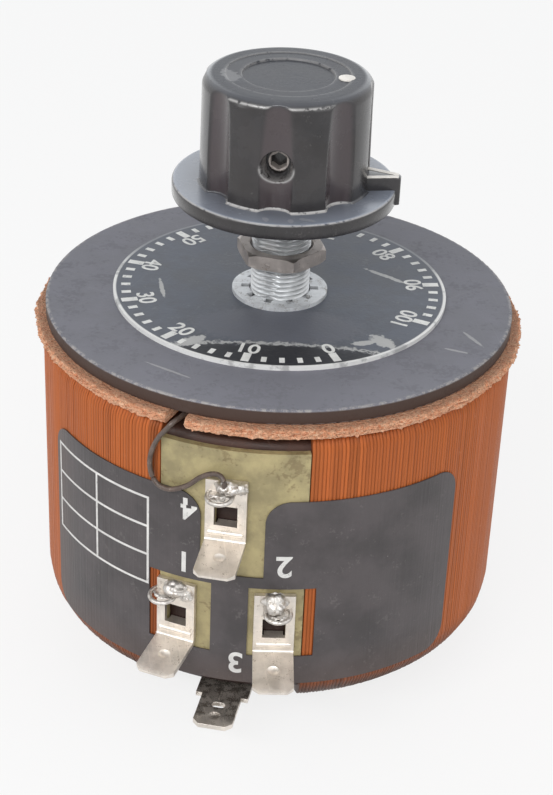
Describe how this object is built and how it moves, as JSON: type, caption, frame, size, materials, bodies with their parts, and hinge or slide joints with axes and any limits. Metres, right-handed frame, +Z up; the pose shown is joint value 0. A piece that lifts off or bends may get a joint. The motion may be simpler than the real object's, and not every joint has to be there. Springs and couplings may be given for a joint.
{
  "type": "variable autotransformer",
  "caption": "Panel-mount toroidal variable autotransformer: a wire-wound ring with bent tab terminals, a dial plate and a fluted pointer knob that turns a carbon brush between stops.",
  "frame": {"origin": "on the shaft axis, at the plane that the part stands on (underside of the arm hub)", "axes": "+Z up the shaft towards the knob, terminals face -Y, +X to the right of the terminals"},
  "size_m": [0.079, 0.0866, 0.0994],
  "materials": {
    "plate": "dark phenolic sheet, scuffed",
    "cork": "coarse pressed cork",
    "dial": "black enamel with white marks",
    "zinc": "bright zinc plate",
    "nut_plate": "dull nickel plate",
    "core_steel": "strip-wound electrical steel",
    "cap": "dark moulded insulation",
    "wire": "enamelled copper wire",
    "board": "olive fibre sheet",
    "label": "charcoal film, satin",
    "tinned": "tinned brass",
    "solder": "soft solder",
    "lead": "sleeved lead",
    "clamp": "brown phenolic moulding",
    "bronze": "sintered bronze",
    "steel": "plated steel",
    "knob": "black phenolic, worn gloss",
    "brass": "turned brass",
    "dark_steel": "blackened steel",
    "white_fill": "white enamel fill",
    "arm": "stamped plated steel",
    "carbon": "pressed carbon"
  },
  "bodies": {
    "stator": {"base_plate": "plate", "cork_ring": "cork", "dial_plate": "dial", "panel_bushing": "zinc", "lock_washer": "zinc", "panel_nut": "nut_plate", "core": "core_steel", "core_cap_upper": "cap", "core_cap_lower": "cap", "winding": "wire", "terminal_board": "board", "label_wrap": "label", "terminal_1": "tinned", "terminal_2": "tinned", "terminal_3": "tinned", "terminal_4": "tinned", "solder_joints": "solder", "lead_wire": "lead", "coil_clamp": "clamp", "rear_bearing": "bronze", "clamp_screws": "steel", "clamp_nuts": "steel"},
    "rotor": {"shaft": "steel", "knob": "knob", "knob_insert": "brass", "knob_set_screw": "dark_steel", "index_dot": "white_fill", "retaining_ring": "dark_steel", "thrust_washer": "steel", "arm_hub": "clamp", "brush_arm": "arm", "arm_rivets": "steel", "brush_holder": "brass", "contact_washer": "brass", "brush_spring": "steel"},
    "brush": {"carbon_brush": "carbon"}
  },
  "joints": [
    {"name": "shaft_turn", "type": "hinge", "parent": "stator", "child": "rotor", "pos_m": [0, 0, 0], "axis": [0, 0, 1], "range_deg": [-18.7, 296.3]},
    {"name": "brush_slide", "type": "slide", "parent": "rotor", "child": "brush", "axis": [0, 0, 1], "range_m": [-0.0012, 0], "stiffness_N_per_m": 300, "deforming": ["brush_spring"]}
  ]
}
